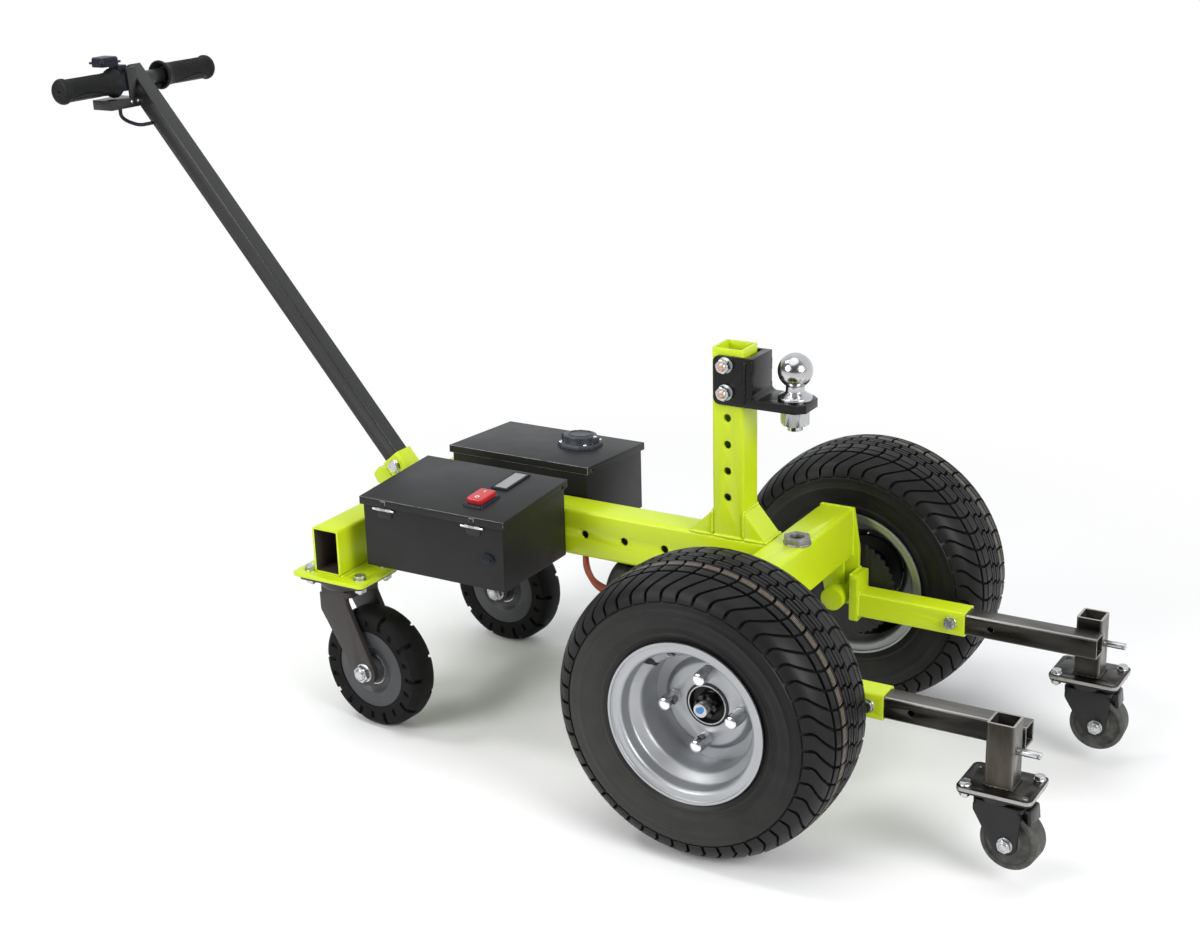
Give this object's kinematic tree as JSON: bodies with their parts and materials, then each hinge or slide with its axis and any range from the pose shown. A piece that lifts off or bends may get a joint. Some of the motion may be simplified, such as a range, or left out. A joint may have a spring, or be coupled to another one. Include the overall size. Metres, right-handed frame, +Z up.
{
  "type": "electric trailer dolly",
  "caption": "Electric trailer dolly: welded tube frame on driven wheels with swivel casters, battery boxes with hinged lids, T handle and a post carrying a tow ball.",
  "frame": {"origin": "on the ground under the middle of the dolly's length and width", "axes": "+X from the handle towards the front casters, +Y to the left, +Z up"},
  "size_m": [1.6696, 0.711, 0.993],
  "materials": {
    "lime_paint": "gloss powder coat",
    "box_paint": "fine textured powder coat",
    "black_paint": "satin paint",
    "dark_paint": "satin paint",
    "raw_steel": "bare mill steel",
    "zinc": "zinc plate",
    "chrome": "polished",
    "rim_silver": "silver paint",
    "hub_black": "painted casting",
    "tyre": "moulded",
    "caster_rubber": "moulded",
    "core_grey": "painted casting",
    "grip_rubber": "ribbed",
    "black_plastic": "moulded",
    "red_plastic": "moulded",
    "orange_cable": "insulation"
  },
  "bodies": {
    "chassis": {"main_beam": "lime_paint", "crossbeam": "lime_paint", "crossbeam_nut": "zinc", "axle_brackets": "lime_paint", "stub_axles": "zinc", "castle_nuts": "zinc", "rear_cross_tube": "lime_paint", "rear_plates": "lime_paint", "rear_caster_plates": "dark_paint", "arm_sleeves": "lime_paint", "front_arms": "raw_steel", "socket_pins": "zinc", "front_caster_plates": "black_paint", "frame_bolts": "zinc", "box_bodies": "box_paint", "box_hinges": "box_paint", "box_knob": "black_plastic", "handle_collar": "lime_paint", "handle_tube": "black_paint", "handlebar": "black_paint", "grips": "grip_rubber", "control_box": "black_paint", "thumb_switch": "black_plastic", "handle_lead": "black_plastic", "post": "lime_paint", "post_gussets": "lime_paint", "ball_bracket": "black_paint", "tow_ball": "chrome", "drive_motor": "hub_black", "gearbox": "hub_black", "motor_hanger": "hub_black", "motor_cables": "orange_cable"},
    "lid_left": {"box_lid_left": "box_paint", "charge_inlet": "black_plastic"},
    "lid_right": {"box_lid_right": "box_paint", "lid_panels": "black_plastic", "rocker": "red_plastic"},
    "wheel_left": {"tyre_left": "tyre", "rim_left": "rim_silver", "lug_nuts_left": "chrome", "hub_left": "hub_black"},
    "rear_swivel_left": {"rear_fork_left": "dark_paint", "rear_axle_left": "zinc"},
    "rear_roller_left": {"rear_tyre_left": "caster_rubber", "rear_core_left": "core_grey"},
    "front_swivel_left": {"front_fork_left": "black_paint", "front_axle_left": "zinc"},
    "front_roller_left": {"front_wheel_left": "caster_rubber"},
    "wheel_right": {"tyre_right": "tyre", "rim_right": "rim_silver", "lug_nuts_right": "chrome", "hub_right": "hub_black"},
    "rear_swivel_right": {"rear_fork_right": "dark_paint", "rear_axle_right": "zinc"},
    "rear_roller_right": {"rear_tyre_right": "caster_rubber", "rear_core_right": "core_grey"},
    "front_swivel_right": {"front_fork_right": "black_paint", "front_axle_right": "zinc"},
    "front_roller_right": {"front_wheel_right": "caster_rubber"}
  },
  "joints": [
    {"name": "wheel_spin_left", "type": "hinge", "parent": "chassis", "child": "wheel_left", "pos_m": [0.39325, 0.273, 0.209], "axis": [0, 1, 0], "continuous": true},
    {"name": "rear_swivel_left", "type": "hinge", "parent": "chassis", "child": "rear_swivel_left", "pos_m": [-0.28675, 0.182, 0.096], "axis": [0, 0, 1], "continuous": true},
    {"name": "rear_spin_left", "type": "hinge", "parent": "rear_swivel_left", "child": "rear_roller_left", "pos_m": [-0.23278, 0.18011, 0.096], "axis": [0.0349, 0.9994, 0], "continuous": true},
    {"name": "front_swivel_left", "type": "hinge", "parent": "chassis", "child": "front_swivel_left", "pos_m": [0.77575, 0.1895, 0.07], "axis": [0, 0, 1], "continuous": true},
    {"name": "front_spin_left", "type": "hinge", "parent": "front_swivel_left", "child": "front_roller_left", "pos_m": [0.79373, 0.19044, 0.07], "axis": [-0.0523, 0.9986, 0], "continuous": true},
    {"name": "lid_left", "type": "hinge", "parent": "chassis", "child": "lid_left", "pos_m": [-0.11075, 0.208, 0.3663], "axis": [-1, 0, 0], "range_deg": [0, 105]},
    {"name": "wheel_spin_right", "type": "hinge", "parent": "chassis", "child": "wheel_right", "pos_m": [0.39325, -0.273, 0.209], "axis": [0, 1, 0], "continuous": true},
    {"name": "rear_swivel_right", "type": "hinge", "parent": "chassis", "child": "rear_swivel_right", "pos_m": [-0.28675, -0.182, 0.096], "axis": [0, 0, 1], "continuous": true},
    {"name": "rear_spin_right", "type": "hinge", "parent": "rear_swivel_right", "child": "rear_roller_right", "pos_m": [-0.23295, -0.18671, 0.096], "axis": [0.0872, 0.9962, 0], "continuous": true},
    {"name": "front_swivel_right", "type": "hinge", "parent": "chassis", "child": "front_swivel_right", "pos_m": [0.77575, -0.1895, 0.07], "axis": [0, 0, 1], "continuous": true},
    {"name": "front_spin_right", "type": "hinge", "parent": "front_swivel_right", "child": "front_roller_right", "pos_m": [0.79368, -0.19107, 0.07], "axis": [0.0872, 0.9962, 0], "continuous": true},
    {"name": "lid_right", "type": "hinge", "parent": "chassis", "child": "lid_right", "pos_m": [-0.11075, -0.208, 0.3663], "axis": [1, 0, 0], "range_deg": [0, 105]}
  ]
}
